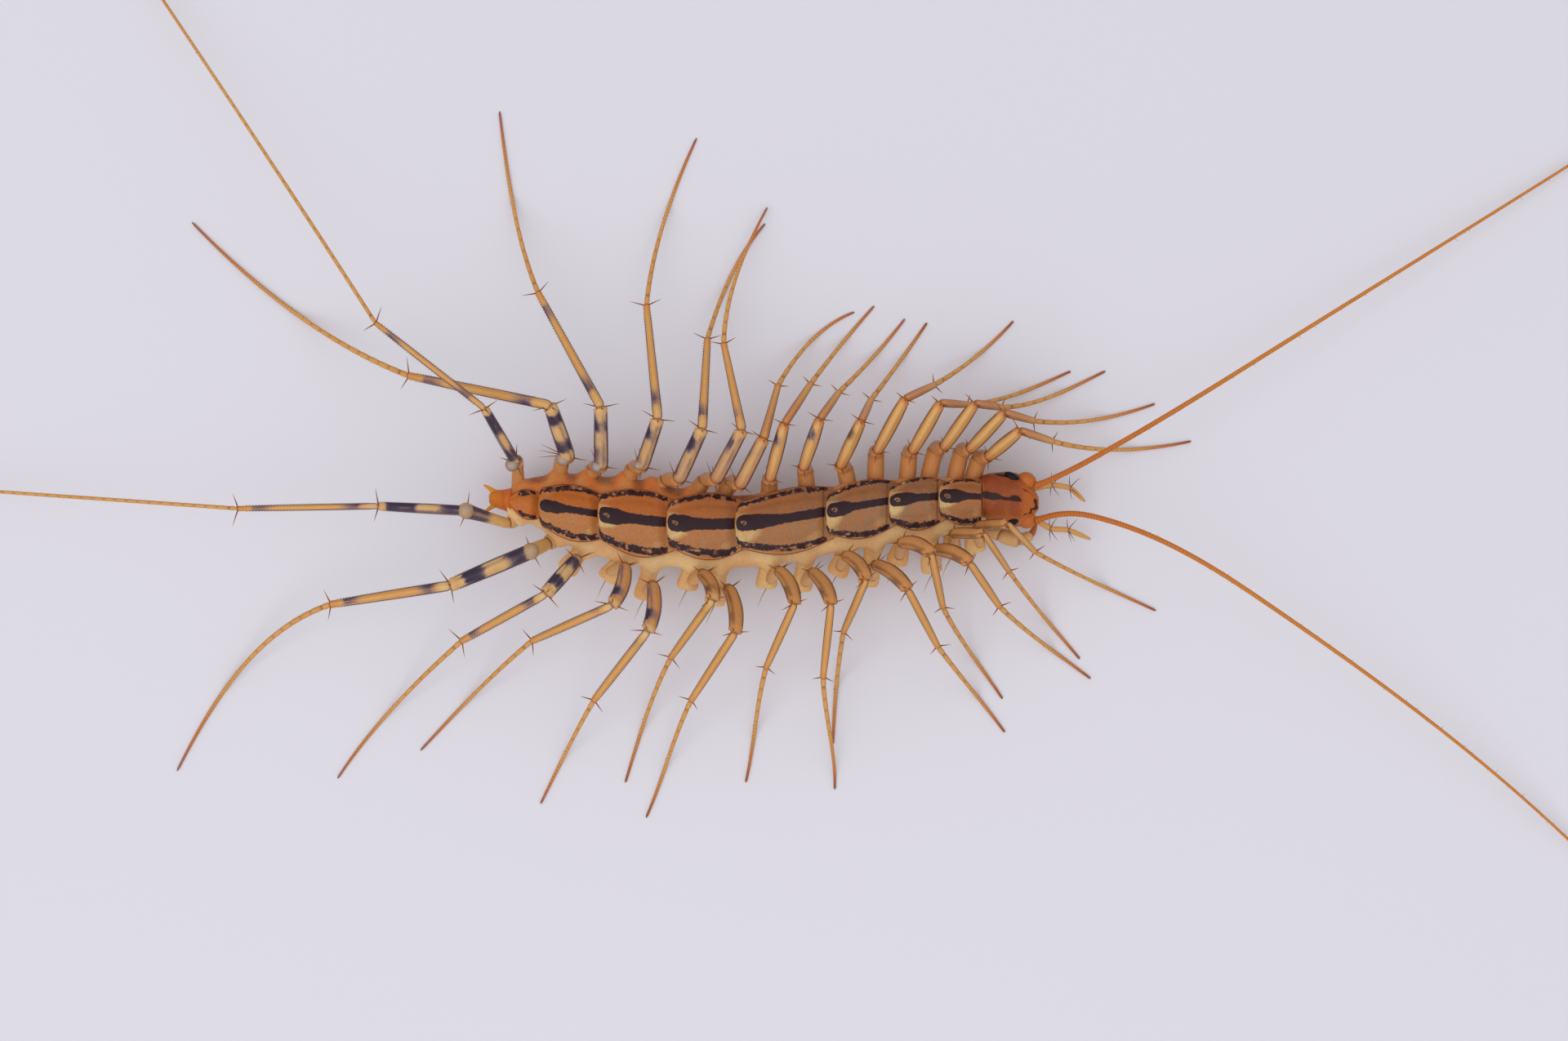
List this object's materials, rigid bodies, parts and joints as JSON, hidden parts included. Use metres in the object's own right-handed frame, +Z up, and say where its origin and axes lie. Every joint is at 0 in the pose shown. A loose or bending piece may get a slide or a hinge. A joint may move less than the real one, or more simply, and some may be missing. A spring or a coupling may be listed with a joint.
{
  "type": "house centipede",
  "caption": "Standing house centipede with long banded legs, very long feelers, overlapping striped back plates and long trailing last legs.",
  "frame": {"origin": "middle of the footprint on the floor, between the tips of the feelers and of the last legs", "axes": "+X the way the head faces, +Y the animal's left, +Z up"},
  "size_m": [0.1207, 0.0684, 0.0072],
  "materials": {
    "back_plate": "satin, striped dark along the middle and both sides",
    "head_capsule": "satin",
    "telson": "satin",
    "eye": "glossy",
    "antenna": "satin",
    "forcipule": "satin",
    "palp": "satin",
    "front_leg": "satin",
    "rear_leg": "satin, banded dark"
  },
  "bodies": {
    "root": {"segment_1": "back_plate", "segment_2": "back_plate", "segment_3": "back_plate", "segment_4": "back_plate", "segment_5": "back_plate", "segment_6": "back_plate", "segment_7": "back_plate", "segment_8": "back_plate", "telson": "telson", "head": "head_capsule", "eye_left": "eye", "antenna_left": "antenna", "forcipule_left": "forcipule", "palp_left": "palp", "leg_left_1": "front_leg", "leg_left_2": "front_leg", "leg_left_3": "front_leg", "leg_left_4": "front_leg", "leg_left_5": "front_leg", "leg_left_6": "front_leg", "leg_left_7": "front_leg", "leg_left_8": "front_leg", "leg_left_9": "rear_leg", "leg_left_10": "rear_leg", "leg_left_11": "rear_leg", "leg_left_12": "rear_leg", "leg_left_13": "rear_leg", "leg_left_14": "rear_leg", "leg_left_15": "rear_leg", "eye_right": "eye", "antenna_right": "antenna", "forcipule_right": "forcipule", "palp_right": "palp", "leg_right_1": "front_leg", "leg_right_2": "front_leg", "leg_right_3": "front_leg", "leg_right_4": "front_leg", "leg_right_5": "front_leg", "leg_right_6": "front_leg", "leg_right_7": "front_leg", "leg_right_8": "front_leg", "leg_right_9": "rear_leg", "leg_right_10": "rear_leg", "leg_right_11": "rear_leg", "leg_right_12": "rear_leg", "leg_right_13": "rear_leg", "leg_right_14": "rear_leg", "leg_right_15": "rear_leg"}
  },
  "joints": []
}
